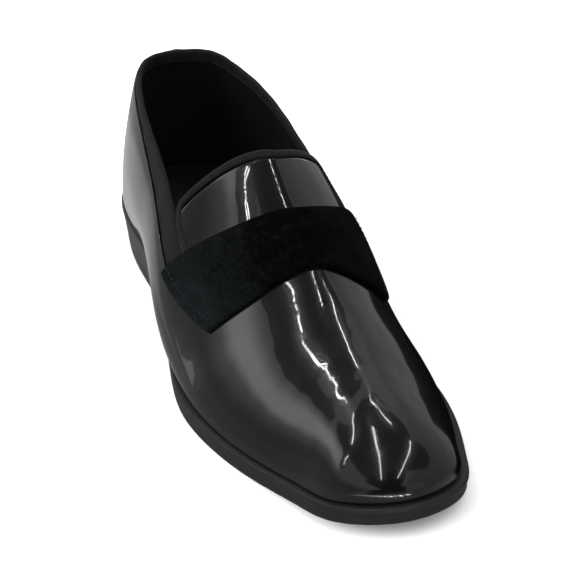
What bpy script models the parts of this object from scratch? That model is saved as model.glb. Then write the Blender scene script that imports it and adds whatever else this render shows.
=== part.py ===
"""Right dress loafer: a patent upper with a velvet strap across the vamp, on a moulded unit sole with heel.

X runs from the heel to the toe, Y to the inner side of the foot, Z up from the floor.
The last is drawn by meridians that climb from the feather line, where the upper meets the sole, to the crest.
"""
import bpy
import numpy as np

# Sizes in metres.
SOLE_LENGTH = 0.300
BALL_WIDTH = 0.1035
INSTEP_HEIGHT = 0.092
HEEL_HEIGHT = 0.0226
SOLE_THICKNESS = 0.0074
TOE_SPRING = 0.0074
WAIST_RISE = 0.0140
HEEL_TAPER = 0.0028
BREAST_HOLLOW = 0.0030
BREAST_LEAN = 0.0012
RIM_AT_TOE = 0.0028
RIM_AT_HEEL = 0.0006
LIP_HEIGHT = 0.0026
LIP_STEP = 0.0005
EDGE_ROUND = 0.0008
UPPER_WALL = 0.0019
BAND_WALL = 0.0030
BAND_INSET = 0.0002
BAND_GAP = 0.0005
BINDING_WIDTH = 0.0037
BINDING_WALL = 0.0028
BINDING_PROUD = 0.0005
STRAP_WALL = 0.0026
STRAP_GAP = 0.0005
INSOLE_WALL = 0.0025
INSOLE_CLEARANCE = 0.0012
GAP = 0.0003

# Places along the shoe, in shares of the sole's length.
BREAST = 0.29
WAIST_FRONT = 0.60
SPRING_START = 0.74
SEAT_END = 0.52
SEAT_BLEND = 0.27
RIM_START = 0.45
RIM_BLEND = 0.20
WAIST_SPAN = 0.36

# Places on the upper: u runs from heel to toe, t from the feather line to the crest.
THROAT_T = 0.450
BAND_END_U = 0.48

# Sections of the last from heel to toe, evenly spread over u.
# along, middle and half draw the sole's plan, in shares of length and ball width. crest is where the
# section's crest lies along the length. rise and flat give the height and the breadth of its shoulders.
# lean is how far the wall swells past the feather line.
SECTION_COLUMNS = ("along", "middle", "half", "crest", "rise_medial", "rise_lateral",
                   "flat", "lean_medial", "lean_lateral")
SECTIONS = (
    (0.000, 0.010, 0.000, 0.100, 0.46, 0.46, 0.64, 0.00, 0.00),
    (0.022, 0.007, 0.208, 0.105, 0.46, 0.46, 0.64, 0.00, -0.02),
    (0.085, -0.020, 0.295, 0.150, 0.46, 0.45, 0.67, 0.08, 0.00),
    (0.190, -0.039, 0.316, 0.260, 0.45, 0.38, 0.61, 0.28, 0.08),
    (0.310, -0.052, 0.310, 0.385, 0.43, 0.28, 0.49, 0.57, 0.23),
    (0.430, -0.068, 0.337, 0.490, 0.42, 0.20, 0.41, 0.74, 0.32),
    (0.540, -0.050, 0.422, 0.575, 0.30, 0.14, 0.31, 0.53, 0.23),
    (0.640, -0.010, 0.495, 0.650, 0.26, 0.20, 0.35, 0.17, 0.05),
    (0.735, 0.018, 0.483, 0.715, 0.30, 0.27, 0.44, 0.00, -0.04),
    (0.820, 0.034, 0.422, 0.775, 0.37, 0.34, 0.50, -0.04, -0.08),
    (0.900, 0.041, 0.342, 0.825, 0.43, 0.40, 0.55, -0.04, -0.08),
    (0.965, 0.035, 0.245, 0.860, 0.49, 0.47, 0.60, -0.02, -0.05),
    (1.000, 0.030, 0.000, 0.875, 0.52, 0.52, 0.65, 0.00, 0.00),
)
# The half width alone crosses zero at the ends, the other columns are level there.
FREE_AT_ENDS = ("half",)

# The crest seen from the side and from above, in shares of length, ball width and instep height.
CREST_COLUMNS = ("along", "side", "up")
CREST = (
    (0.100, -0.020, 1.445),
    (0.200, -0.020, 1.410),
    (0.300, -0.010, 1.300),
    (0.400, 0.010, 1.137),
    (0.500, 0.030, 0.935),
    (0.600, 0.045, 0.710),
    (0.700, 0.050, 0.560),
    (0.800, 0.045, 0.470),
    (0.875, 0.035, 0.420),
    (0.930, 0.030, 0.380),
)

# The opening's top line and the lower line of its band, as t over u.
OPENING_COLUMNS = ("u", "top_medial", "top_lateral", "band_medial", "band_lateral")
OPENING = (
    (0.00, 0.434, 0.434, 0.397, 0.397),
    (0.06, 0.434, 0.434, 0.397, 0.397),
    (0.12, 0.431, 0.431, 0.394, 0.394),
    (0.20, 0.414, 0.419, 0.379, 0.385),
    (0.25, 0.409, 0.422, 0.373, 0.383),
    (0.30, 0.417, 0.435, 0.364, 0.375),
    (0.35, 0.432, 0.446, 0.355, 0.364),
    (0.40, 0.450, 0.450, 0.345, 0.352),
    (0.44, 0.450, 0.450, 0.350, 0.350),
    (0.48, 0.450, 0.450, 0.368, 0.368),
)

# The throat and the strap's two edges as u over the girth: from the lateral side (-1) over the crest (0)
# to the medial side (1).
CROSSING_COLUMNS = ("girth", "throat", "strap_back", "strap_front")
CROSSING = (
    (-0.8, 0.382, 0.424, 0.534),
    (-0.6, 0.387, 0.436, 0.545),
    (-0.4, 0.391, 0.454, 0.558),
    (-0.2, 0.400, 0.472, 0.564),
    (0.0, 0.411, 0.482, 0.568),
    (0.2, 0.408, 0.476, 0.567),
    (0.4, 0.400, 0.460, 0.561),
    (0.6, 0.393, 0.440, 0.552),
    (0.8, 0.388, 0.428, 0.545),
)
# The crest leans forward of its feet, so edges over it are drawn back within this girth to run on without a corner.
CREST_SPAN = 0.4

STRAP_END_LATERAL_BACK = 0.67
STRAP_END_LATERAL_FRONT = 0.60
STRAP_END_MEDIAL_BACK = 0.64
STRAP_END_MEDIAL_FRONT = 0.58

HEEL_STATIONS = 14
WAIST_STATIONS = 4
THROAT_STATIONS = 5
VAMP_STATIONS = 22
LOWER_ROWS = 7
SIDE_ROWS = 4
CREST_ROWS = 12
STRAP_STEPS = 37
SOLE_ACROSS = 4

# A rounded edge's middle point as a share of its radius, and the middle of the sole's side as a share of it.
ROUND_NEAR = 0.3
MID_WALL = 0.35


def spline(places, values, level):
    """A cubic with continuous curvature through the rows: level or free of curvature at both ends."""
    places = np.asarray(places, float)
    values = np.asarray(values, float)
    count = len(values)
    step = np.diff(places)
    rate = np.diff(values) / step
    matrix = np.zeros((count, count))
    target = np.zeros(count)
    for i in range(1, count - 1):
        matrix[i, i - 1:i + 2] = step[i], 2 * (step[i - 1] + step[i]), step[i - 1]
        target[i] = 3 * (step[i] * rate[i - 1] + step[i - 1] * rate[i])
    if level:
        matrix[0, 0] = 1
        matrix[-1, -1] = 1
    else:
        matrix[0, :2] = 2, 1
        matrix[-1, -2:] = 1, 2
        target[0] = 3 * rate[0]
        target[-1] = 3 * rate[-1]
    slope = np.linalg.solve(matrix, target)

    def read(x):
        x = np.clip(np.asarray(x, float), places[0], places[-1])
        i = np.clip(np.searchsorted(places, x, "right") - 1, 0, count - 2)
        f = (x - places[i]) / step[i]
        start = (2 * f**3 - 3 * f**2 + 1) * values[i] + (f**3 - 2 * f**2 + f) * step[i] * slope[i]
        end = (3 * f**2 - 2 * f**3) * values[i + 1] + (f**3 - f**2) * step[i] * slope[i + 1]
        return start + end
    return read


def table(columns, rows, level=()):
    """One spline for each column, over the first column."""
    rows = np.array(rows, float)
    return {name: spline(rows[:, 0], rows[:, i], name in level) for i, name in enumerate(columns)}


SPREAD = np.linspace(0, 1, len(SECTIONS))[:, None]
LEVEL = tuple(name for name in SECTION_COLUMNS if name not in FREE_AT_ENDS)
section = table(("u",) + SECTION_COLUMNS, np.hstack([SPREAD, np.array(SECTIONS)]), LEVEL)
crest = table(CREST_COLUMNS, CREST)
opening = table(OPENING_COLUMNS, OPENING)
crossing = table(CROSSING_COLUMNS, CROSSING)


def ease(x):
    """A soft step from 0 to 1."""
    x = np.clip(x, 0, 1)
    return x * x * (3 - 2 * x)


def underside(share):
    """Height of the sole's underside in front of the heel."""
    toe = TOE_SPRING * np.clip((share - SPRING_START) / (1 - SPRING_START), 0, 1) ** 2
    waist = WAIST_RISE * np.clip((WAIST_FRONT - share) / WAIST_SPAN, 0, 1) ** 1.6
    return toe + waist


def feather_height(share):
    """Height of the sole's top, which the upper stands on."""
    seat = ease((SEAT_END - share) / SEAT_BLEND)
    return (underside(share) + SOLE_THICKNESS) * (1 - seat) + (HEEL_HEIGHT + GAP) * seat


def plan(u, side):
    """The sole's outline. Past either end it runs on round to the other side."""
    folded = np.where(u < 0, -u, np.where(u > 1, 2 - u, u))
    turn = np.where((u < 0) | (u > 1), -side, side)
    y = section["middle"](folded) + turn * section["half"](folded)
    return section["along"](folded) * SOLE_LENGTH, y * BALL_WIDTH


def outline(u, side, inset):
    """The sole's outline drawn in by inset, square to itself. side is 1 medial and -1 lateral."""
    u = np.asarray(u, float)
    reach = 1e-4
    x0, y0 = plan(u - reach, side)
    x1, y1 = plan(u + reach, side)
    x, y = plan(u, side)
    length = np.hypot(x1 - x0, y1 - y0)
    return x + (y1 - y0) / length * side * inset, y - (x1 - x0) / length * side * inset


def rim(u):
    """How far the upper stands inside the sole's edge."""
    return RIM_AT_HEEL + (RIM_AT_TOE - RIM_AT_HEEL) * ease((section["along"](u) - RIM_START) / RIM_BLEND)


def last(u, t, side):
    """A point of the upper's outer face."""
    u, t = np.broadcast_arrays(np.asarray(u, float), np.asarray(t, float))
    share = section["crest"](u)
    top = share * SOLE_LENGTH, crest["side"](share) * BALL_WIDTH, crest["up"](share) * INSTEP_HEIGHT
    step = 1e-3
    fall = (crest["up"](share + step) - crest["up"](share - step)) * INSTEP_HEIGHT / (2 * step * SOLE_LENGTH)
    foot = {s: outline(u, s, rim(u)) for s in (1, -1)}
    reach = {s: np.hypot(top[0] - foot[s][0], top[1] - foot[s][1]) for s in (1, -1)}
    low = feather_height(section["along"](u)) + GAP
    x, y = foot[side]
    out_x = (x - top[0]) / reach[side]
    out_y = (y - top[1]) / reach[side]
    height = top[2] - low
    rise = section["rise_medial" if side > 0 else "rise_lateral"](u)
    lean = section["lean_medial" if side > 0 else "lean_lateral"](u) * height
    # The two sides share one breadth here, so that the curvature carries on over the crest.
    flat = section["flat"](u) * (reach[1] + reach[-1]) / 2 * np.sqrt(1 - rise)
    handles = (
        (x, y, low),
        (x + out_x * lean, y + out_y * lean, low + rise * height),
        (top[0] + out_x * flat, top[1] + out_y * flat, top[2] + fall * out_x * flat),
        top,
    )
    weights = (1 - t) ** 3, 3 * t * (1 - t) ** 2, 3 * t * t * (1 - t), t**3
    return np.stack([sum(w * h[axis] for w, h in zip(weights, handles)) for axis in range(3)], -1)


def outward(u, t, side):
    """The outward normal of the upper's outer face."""
    step = 1e-3
    u = np.clip(u, 0, 1)
    t0 = np.clip(t - step, 0, 1)
    t1 = np.clip(t + step, 0, 1)
    along = last(np.clip(u + step, 0, 1), t, side) - last(np.clip(u - step, 0, 1), t, side)
    up = last(u, t1, side) - last(u, t0, side)
    normal = np.cross(along, up) * -side
    return normal / np.linalg.norm(normal, axis=-1, keepdims=True)


BREAST_U = np.interp(BREAST, section["along"](np.linspace(0, 1, 400)), np.linspace(0, 1, 400))


def over_crest(u, girth):
    """Draws an edge back near the crest, so that it crosses the crest square."""
    step = 1e-3
    top = last(u, 1.0, 1)[..., 0]
    lag = top - (last(u, 1 - step, 1)[..., 0] + last(u, 1 - step, -1)[..., 0]) / 2
    stride = last(u + step, 1.0, 1)[..., 0] - last(u - step, 1.0, 1)[..., 0]
    bend = lag / step * CREST_SPAN / 2 / (stride / (2 * step))
    return u - bend * np.clip(1 - np.abs(girth) / CREST_SPAN, 0, 1) ** 2


def throat(girth):
    """Where the opening ends in front."""
    return over_crest(crossing["throat"](girth), girth)


CORNER_U = throat(1 - THROAT_T)
HEEL_SPREAD = np.linspace(0, BREAST_U, HEEL_STATIONS)
WAIST_SPREAD = np.linspace(BREAST_U, CORNER_U, WAIST_STATIONS)
THROAT_SPREAD = np.linspace(CORNER_U, BAND_END_U, THROAT_STATIONS)
VAMP_SPREAD = np.linspace(BAND_END_U, 1, VAMP_STATIONS)
STATIONS = np.concatenate([HEEL_SPREAD, WAIST_SPREAD[1:], THROAT_SPREAD[1:], VAMP_SPREAD[1:]])


def grid_faces(rows, columns, start=0):
    """Quads of a grid whose points are counted row by row."""
    faces = []
    for i in range(rows - 1):
        for j in range(columns - 1):
            a = start + i * columns + j
            faces.append((a, a + 1, a + columns + 1, a + columns))
    return faces


def weld(points, faces):
    """Merges points in the same place and drops faces that lose their area."""
    seen = {}
    index = []
    keep = []
    for i, point in enumerate(points):
        key = tuple(int(round(c * 1e7)) for c in point)
        if key not in seen:
            seen[key] = len(keep)
            keep.append(i)
        index.append(seen[key])
    merged = []
    for face in faces:
        corners = []
        for corner in face:
            if index[corner] not in corners:
                corners.append(index[corner])
        if len(corners) > 2:
            merged.append(tuple(corners))
    return points[keep], merged


def sheet_normals(points, faces):
    """A normal for each point of a sheet, the mean of its faces by area."""
    normals = np.zeros_like(points)
    for face in faces:
        corner = points[list(face)]
        area = np.zeros(3)
        for i in range(1, len(face) - 1):
            area += np.cross(corner[i] - corner[0], corner[i + 1] - corner[0])
        for i in face:
            normals[i] += area
    return normals / np.linalg.norm(normals, axis=1, keepdims=True)


def thicken(points, faces, normals, high, low):
    """A closed body between two copies of a sheet, moved along its normals by high and by low."""
    count = len(points)
    high = np.broadcast_to(high, count)[:, None]
    low = np.broadcast_to(low, count)[:, None]
    body = np.vstack([points + normals * high, points + normals * low])
    solid = list(faces)
    solid += [tuple(count + i for i in reversed(face)) for face in faces]
    edges = {}
    for face in faces:
        for a, b in zip(face, face[1:] + face[:1]):
            edges[a, b] = True
    for a, b in edges:
        if (b, a) not in edges:
            solid.append((b, a, count + a, count + b))
    return body, solid


def volume(points, faces):
    """Six times the signed volume."""
    total = 0.0
    for face in faces:
        for i in range(1, len(face) - 1):
            total += np.dot(points[face[0]], np.cross(points[face[i]], points[face[i + 1]]))
    return total


def facing_out(points, faces):
    if volume(points, faces) < 0:
        faces = [tuple(reversed(face)) for face in faces]
    return points, faces


def upper_sheet():
    """The upper's outer face in three grids on each side: below the band, the vamp, and its tab at the throat."""
    crest_t = np.linspace(THROAT_T, 1, CREST_ROWS)
    share = np.linspace(0, 1, LOWER_ROWS)[:, None]
    spread = np.linspace(0, 1, THROAT_STATIONS)
    points = []
    faces = []
    total = 0
    for side, name in ((1, "band_medial"), (-1, "band_lateral")):
        # In front of the band its line's last height serves on both sides, so that they meet at the toe.
        low_top = opening[name](np.minimum(STATIONS, BAND_END_U))
        side_t = np.linspace(low_top[-1], THROAT_T, SIDE_ROWS)
        begin = throat(side * (1 - crest_t))[:, None] + (BINDING_WIDTH + GAP) / SOLE_LENGTH
        low = last(STATIONS[None, :], share * low_top[None, :], side)
        vamp = last(VAMP_SPREAD[None, :], np.concatenate([side_t, crest_t[1:]])[:, None], side)
        tab = last(begin + spread * (BAND_END_U - begin), crest_t[:, None], side)
        for block in (low, vamp, tab):
            quads = grid_faces(block.shape[0], block.shape[1], total)
            if side > 0:
                quads = [tuple(reversed(quad)) for quad in quads]
            points.append(block.reshape(-1, 3))
            faces += quads
            total += block.shape[0] * block.shape[1]
    return weld(np.vstack(points), faces)


def upper():
    points, faces = upper_sheet()
    normals = sheet_normals(points, faces)
    if normals[np.argmax(points[:, 0])][0] < 0:
        normals = -normals
    # The foot of the wall stays level on the sole.
    at_foot = points[:, 2] < feather_height(points[:, 0] / SOLE_LENGTH) + 2 * GAP
    normals[at_foot, 2] = 0
    normals[at_foot] /= np.linalg.norm(normals[at_foot], axis=1, keepdims=True)
    return facing_out(*thicken(points, faces, normals, 0.0, -UPPER_WALL))


def ribbon(stations, places, high, low):
    """A strip along the stations. places(station) gives the points across it and their normals."""
    rows = [places(station) for station in stations]
    points = np.stack([row[0] for row in rows])
    normals = np.stack([row[1] for row in rows])
    count = points.shape[1]
    faces = grid_faces(len(rows), count)
    points = points.reshape(-1, 3)
    normals = normals.reshape(-1, 3)
    high = np.tile(np.broadcast_to(high, count), len(rows))
    low = np.tile(np.broadcast_to(low, count), len(rows))
    return facing_out(*thicken(points, faces, normals, high, low))


def collar_band():
    """The band from its lateral front end round the heel to the medial one."""
    end = BAND_END_U - GAP / SOLE_LENGTH
    bend = np.append(STATIONS[STATIONS < end - GAP], end)
    stations = [(u, -1) for u in bend[::-1]] + [(u, 1) for u in bend[1:]]
    across = np.array([0.0, 0.12, 0.4, 0.7, 0.92, 1.0])
    round_off = np.array([0.25, 0.0, 0.0, 0.0, 0.12, 0.4]) * BAND_WALL

    def places(station):
        u, side = station
        name = "medial" if side > 0 else "lateral"
        length = np.linalg.norm(last(u, 0.45, side) - last(u, 0.35, side)) / 0.1
        bottom = opening["band_" + name](u) + BAND_GAP / length
        t = bottom + across * (opening["top_" + name](u) - BAND_GAP / length - bottom)
        return last(u, t, side), outward(u, t, side)
    return ribbon(stations, places, -BAND_INSET - round_off, -BAND_INSET - BAND_WALL + round_off)


def throat_binding():
    """The narrow edge of the vamp, from the lateral side over the crest to the medial side."""
    width = BINDING_WIDTH / SOLE_LENGTH
    half = np.linspace(THROAT_T, 1, CREST_ROWS)
    stations = [(t, -1) for t in half] + [(t, 1) for t in half[-2::-1]]
    across = np.array([0.0, 0.2, 0.5, 0.8, 1.0])
    round_off = np.array([0.36, 0.10, 0.0, 0.10, 0.30]) * BINDING_WALL

    def places(station):
        t, side = station
        u = throat(side * (1 - t)) + across * width
        return last(u, t, side), outward(u, t, side)
    return ribbon(stations, places, BINDING_PROUD - round_off, BINDING_PROUD - BINDING_WALL + round_off)


def strap():
    """The strap over the vamp, its ends cut from the back corner to the front corner."""
    across = np.array([0.0, 0.02, 0.2, 0.4, 0.6, 0.8, 0.98, 1.0])
    round_off = np.array([0.34, 0.0, 0.0, 0.0, 0.0, 0.0, 0.0, 0.34]) * STRAP_WALL
    lateral = -(STRAP_END_LATERAL_BACK + (STRAP_END_LATERAL_FRONT - STRAP_END_LATERAL_BACK) * across)
    medial = STRAP_END_MEDIAL_BACK + (STRAP_END_MEDIAL_FRONT - STRAP_END_MEDIAL_BACK) * across

    def places(share):
        girth = lateral + share * (medial - lateral)
        back = over_crest(crossing["strap_back"](girth), girth)
        front = over_crest(crossing["strap_front"](girth), girth)
        u = back + across * (front - back)
        both = [last(u, 1 - np.abs(girth), side) for side in (1, -1)]
        tilt = [outward(u, 1 - np.abs(girth), side) for side in (1, -1)]
        medial_side = (girth >= 0)[:, None]
        return np.where(medial_side, both[0], both[1]), np.where(medial_side, tilt[0], tilt[1])
    return ribbon(np.linspace(0, 1, STRAP_STEPS), places, STRAP_GAP + STRAP_WALL - round_off, STRAP_GAP)


def station_grid(stations, inset, height, across):
    """Points over the plan, row by row from heel to toe, each row from lateral to medial."""
    rows = []
    for u in stations:
        lateral_x, lateral_y = outline(u, -1, inset(u))
        medial_x, medial_y = outline(u, 1, inset(u))
        x = lateral_x + across * (medial_x - lateral_x)
        y = lateral_y + across * (medial_y - lateral_y)
        rows.append(np.stack([x, y, height(x / SOLE_LENGTH)], -1))
    return np.stack(rows)


def insole():
    across = np.linspace(0, 1, 5)

    def inset(u):
        return rim(u) + UPPER_WALL + INSOLE_CLEARANCE
    rows = station_grid(STATIONS, inset, feather_height, across)
    points, faces = weld(rows.reshape(-1, 3), grid_faces(rows.shape[0], rows.shape[1]))
    normals = np.tile([0.0, 0.0, 1.0], (len(points), 1))
    return facing_out(*thicken(points, faces, normals, GAP + INSOLE_WALL, GAP))


def sole():
    """The unit sole: rings of points round each station, from heel to toe."""
    ahead = np.concatenate([[BREAST_U], STATIONS[STATIONS > BREAST_U]])
    across = np.linspace(0, 1, SOLE_ACROSS + 1)
    bulge = 1 - (2 * across - 1) ** 2
    rings = []
    for part, stations in ((0, HEEL_SPREAD), (1, ahead)):
        for u in stations:
            share = section["along"](u)
            top = feather_height(share)
            bottom = underside(share) if part else 0.0
            taper = 0.0 if part else HEEL_TAPER
            blend = 0.0 if part else 1.0
            # Inset and height, from the top edge down. A rounded edge has one point between its two ends.
            near = EDGE_ROUND * ROUND_NEAR
            far = EDGE_ROUND * (1 - ROUND_NEAR)
            levels = (
                (EDGE_ROUND, top),
                (near, top - near),
                (0.0, top - EDGE_ROUND),
                (0.0, top - LIP_HEIGHT),
                (LIP_STEP, top - LIP_HEIGHT - LIP_STEP),
                (LIP_STEP + taper / 2, bottom + (top - bottom) * MID_WALL),
                (LIP_STEP + taper, bottom + EDGE_ROUND),
                (LIP_STEP + taper + far, bottom + near),
                (LIP_STEP + taper + EDGE_ROUND, bottom),
            )
            walls = {}
            for side in (1, -1):
                wall = []
                for inset, z in levels:
                    x, y = outline(u, side, inset)
                    wall.append((x, y, z))
                walls[side] = np.array(wall)
            faces_across = []
            for level in (0, -1):
                a, b = walls[-1][level], walls[1][level]
                line = a + across[:, None] * (b - a)
                if level == -1 and u == BREAST_U:
                    # The breast is hollowed a little and leans back towards the floor.
                    line[:, 0] -= bulge * BREAST_HOLLOW + blend * BREAST_LEAN
                faces_across.append(line)
            ring = np.vstack([faces_across[0], walls[1][1:-1], faces_across[1][::-1], walls[-1][-2:0:-1]])
            rings.append(ring)
    points = np.stack(rings)
    size = points.shape[1]
    faces = []
    for i in range(points.shape[0] - 1):
        for j in range(size):
            a = i * size + j
            b = i * size + (j + 1) % size
            faces.append((a, b, b + size, a + size))
    return facing_out(*weld(points.reshape(-1, 3), faces))


LEATHER = (0.008, 0.008, 0.010)
PIECES = (
    ("upper", upper, LEATHER, 0.07),
    ("outsole", sole, (0.020, 0.020, 0.022), 0.45),
    ("strap", strap, (0.010, 0.012, 0.012), 0.95),
    ("collar_band", collar_band, (0.020, 0.020, 0.022), 0.85),
    ("throat_binding", throat_binding, (0.020, 0.020, 0.022), 0.80),
    ("insole", insole, (0.012, 0.012, 0.014), 0.70),
)


def material(name, colour, roughness):
    made = bpy.data.materials.new(name)
    made.use_nodes = True
    shader = made.node_tree.nodes["Principled BSDF"]
    shader.inputs["Base Color"].default_value = colour + (1.0,)
    shader.inputs["Roughness"].default_value = roughness
    shader.inputs["Metallic"].default_value = 0.0
    return made


def add(name, points, faces, look):
    mesh = bpy.data.meshes.new(name)
    mesh.from_pydata([tuple(point) for point in points], [], faces)
    mesh.update()
    mesh.polygons.foreach_set("use_smooth", [True] * len(mesh.polygons))
    mesh.materials.append(look)
    made = bpy.data.objects.new(name, mesh)
    bpy.context.collection.objects.link(made)
    return made


def main():
    for old in list(bpy.data.objects):
        bpy.data.objects.remove(old, do_unlink=True)
    bodies = [(name, *build(), colour, roughness) for name, build, colour, roughness in PIECES]
    every = np.vstack([body[1] for body in bodies])
    middle = (every.min(axis=0) + every.max(axis=0)) / 2
    middle[2] = 0.0
    for name, points, faces, colour, roughness in bodies:
        add(name, points - middle, faces, material(name, colour, roughness))


main()
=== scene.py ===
import math

import bpy
import numpy as np
from mathutils import Matrix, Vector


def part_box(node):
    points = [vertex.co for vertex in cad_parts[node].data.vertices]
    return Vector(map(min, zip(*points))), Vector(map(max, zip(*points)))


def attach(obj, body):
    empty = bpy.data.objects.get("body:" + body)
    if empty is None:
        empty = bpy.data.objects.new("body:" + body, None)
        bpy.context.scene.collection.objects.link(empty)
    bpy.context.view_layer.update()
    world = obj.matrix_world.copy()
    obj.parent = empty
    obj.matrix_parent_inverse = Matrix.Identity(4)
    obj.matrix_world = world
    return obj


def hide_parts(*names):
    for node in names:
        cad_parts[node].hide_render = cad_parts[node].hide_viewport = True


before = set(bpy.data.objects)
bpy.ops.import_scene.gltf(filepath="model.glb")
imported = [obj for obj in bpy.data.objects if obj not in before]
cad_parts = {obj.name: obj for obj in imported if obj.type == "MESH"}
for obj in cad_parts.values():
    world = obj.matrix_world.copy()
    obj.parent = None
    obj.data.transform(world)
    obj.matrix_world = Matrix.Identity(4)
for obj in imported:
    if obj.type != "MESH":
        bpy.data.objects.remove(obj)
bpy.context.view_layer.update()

# Right dress loafer. X runs from the heel to the toe, Y to the inner side of the foot, Z up from the floor.

# Sizes in metres.
SOLE_LENGTH = 0.300
BALL_WIDTH = 0.1035
INSTEP_HEIGHT = 0.092
HEEL_HEIGHT = 0.0226
SOLE_THICKNESS = 0.0074
TOE_SPRING = 0.0074
WAIST_RISE = 0.0140
HEEL_TAPER = 0.0028
RIM_AT_TOE = 0.0028
RIM_AT_HEEL = 0.0006
LIP_HEIGHT = 0.0026
LIP_STEP = 0.0005
UPPER_WALL = 0.0019
BINDING_WIDTH = 0.0037
STRAP_GAP = 0.0005
INSOLE_WALL = 0.0025
GAP = 0.0003

# Places along the shoe, in shares of the sole's length.
BREAST = 0.29
WAIST_FRONT = 0.60
SPRING_START = 0.74
SEAT_END = 0.52
SEAT_BLEND = 0.27
RIM_START = 0.45
RIM_BLEND = 0.20
WAIST_SPAN = 0.36

# Places on the upper: u runs from heel to toe, t from the feather line to the crest.
THROAT_T = 0.450
BAND_END_U = 0.48

# Sections of the last from heel to toe, evenly spread over u.
# along, middle and half draw the sole's plan, in shares of length and ball width. crest is where the
# section's crest lies along the length. rise and flat give the height and the breadth of its shoulders.
# lean is how far the wall swells past the feather line.
SECTION_COLUMNS = ("along", "middle", "half", "crest", "rise_medial", "rise_lateral",
                   "flat", "lean_medial", "lean_lateral")
SECTIONS = (
    (0.000, 0.010, 0.000, 0.100, 0.46, 0.46, 0.64, 0.00, 0.00),
    (0.022, 0.007, 0.208, 0.105, 0.46, 0.46, 0.64, 0.00, -0.02),
    (0.085, -0.020, 0.295, 0.150, 0.46, 0.45, 0.67, 0.08, 0.00),
    (0.190, -0.039, 0.316, 0.260, 0.45, 0.38, 0.61, 0.28, 0.08),
    (0.310, -0.052, 0.310, 0.385, 0.43, 0.28, 0.49, 0.57, 0.23),
    (0.430, -0.068, 0.337, 0.490, 0.42, 0.20, 0.41, 0.74, 0.32),
    (0.540, -0.050, 0.422, 0.575, 0.30, 0.14, 0.31, 0.53, 0.23),
    (0.640, -0.010, 0.495, 0.650, 0.26, 0.20, 0.35, 0.17, 0.05),
    (0.735, 0.018, 0.483, 0.715, 0.30, 0.27, 0.44, 0.00, -0.04),
    (0.820, 0.034, 0.422, 0.775, 0.37, 0.34, 0.50, -0.04, -0.08),
    (0.900, 0.041, 0.342, 0.825, 0.43, 0.40, 0.55, -0.04, -0.08),
    (0.965, 0.035, 0.245, 0.860, 0.49, 0.47, 0.60, -0.02, -0.05),
    (1.000, 0.030, 0.000, 0.875, 0.52, 0.52, 0.65, 0.00, 0.00),
)
# The half width alone crosses zero at the ends, the other columns are level there.
FREE_AT_ENDS = ("half",)

# The crest seen from the side and from above, in shares of length, ball width and instep height.
CREST_COLUMNS = ("along", "side", "up")
CREST = (
    (0.100, -0.020, 1.445),
    (0.200, -0.020, 1.410),
    (0.300, -0.010, 1.300),
    (0.400, 0.010, 1.137),
    (0.500, 0.030, 0.935),
    (0.600, 0.045, 0.710),
    (0.700, 0.050, 0.560),
    (0.800, 0.045, 0.470),
    (0.875, 0.035, 0.420),
    (0.930, 0.030, 0.380),
)

# The opening's top line and the lower line of its band, as t over u.
OPENING_COLUMNS = ("u", "top_medial", "top_lateral", "band_medial", "band_lateral")
OPENING = (
    (0.00, 0.434, 0.434, 0.397, 0.397),
    (0.06, 0.434, 0.434, 0.397, 0.397),
    (0.12, 0.431, 0.431, 0.394, 0.394),
    (0.20, 0.414, 0.419, 0.379, 0.385),
    (0.25, 0.409, 0.422, 0.373, 0.383),
    (0.30, 0.417, 0.435, 0.364, 0.375),
    (0.35, 0.432, 0.446, 0.355, 0.364),
    (0.40, 0.450, 0.450, 0.345, 0.352),
    (0.44, 0.450, 0.450, 0.350, 0.350),
    (0.48, 0.450, 0.450, 0.368, 0.368),
)

# The throat and the strap's two edges as u over the girth: from the lateral side (-1) over the crest (0)
# to the medial side (1).
CROSSING_COLUMNS = ("girth", "throat", "strap_back", "strap_front")
CROSSING = (
    (-0.8, 0.382, 0.424, 0.534),
    (-0.6, 0.387, 0.436, 0.545),
    (-0.4, 0.391, 0.454, 0.558),
    (-0.2, 0.400, 0.472, 0.564),
    (0.0, 0.411, 0.482, 0.568),
    (0.2, 0.408, 0.476, 0.567),
    (0.4, 0.400, 0.460, 0.561),
    (0.6, 0.393, 0.440, 0.552),
    (0.8, 0.388, 0.428, 0.545),
)
# The crest leans forward of its feet, so edges over it are drawn back within this girth
# to run on without a corner.
CREST_SPAN = 0.4

STRAP_END_LATERAL_BACK = 0.67
STRAP_END_LATERAL_FRONT = 0.60
STRAP_END_MEDIAL_BACK = 0.64
STRAP_END_MEDIAL_FRONT = 0.58


def spline(places, values, level):
    """A cubic with continuous curvature through the rows: level or free of curvature at both ends."""
    places = np.asarray(places, float)
    values = np.asarray(values, float)
    count = len(values)
    step = np.diff(places)
    rate = np.diff(values) / step
    matrix = np.zeros((count, count))
    target = np.zeros(count)
    for i in range(1, count - 1):
        matrix[i, i - 1:i + 2] = step[i], 2 * (step[i - 1] + step[i]), step[i - 1]
        target[i] = 3 * (step[i] * rate[i - 1] + step[i - 1] * rate[i])
    if level:
        matrix[0, 0] = 1
        matrix[-1, -1] = 1
    else:
        matrix[0, :2] = 2, 1
        matrix[-1, -2:] = 1, 2
        target[0] = 3 * rate[0]
        target[-1] = 3 * rate[-1]
    slope = np.linalg.solve(matrix, target)

    def read(x):
        x = np.clip(np.asarray(x, float), places[0], places[-1])
        i = np.clip(np.searchsorted(places, x, "right") - 1, 0, count - 2)
        f = (x - places[i]) / step[i]
        start = (2 * f**3 - 3 * f**2 + 1) * values[i] + (f**3 - 2 * f**2 + f) * step[i] * slope[i]
        end = (3 * f**2 - 2 * f**3) * values[i + 1] + (f**3 - f**2) * step[i] * slope[i + 1]
        return start + end
    return read


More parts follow.
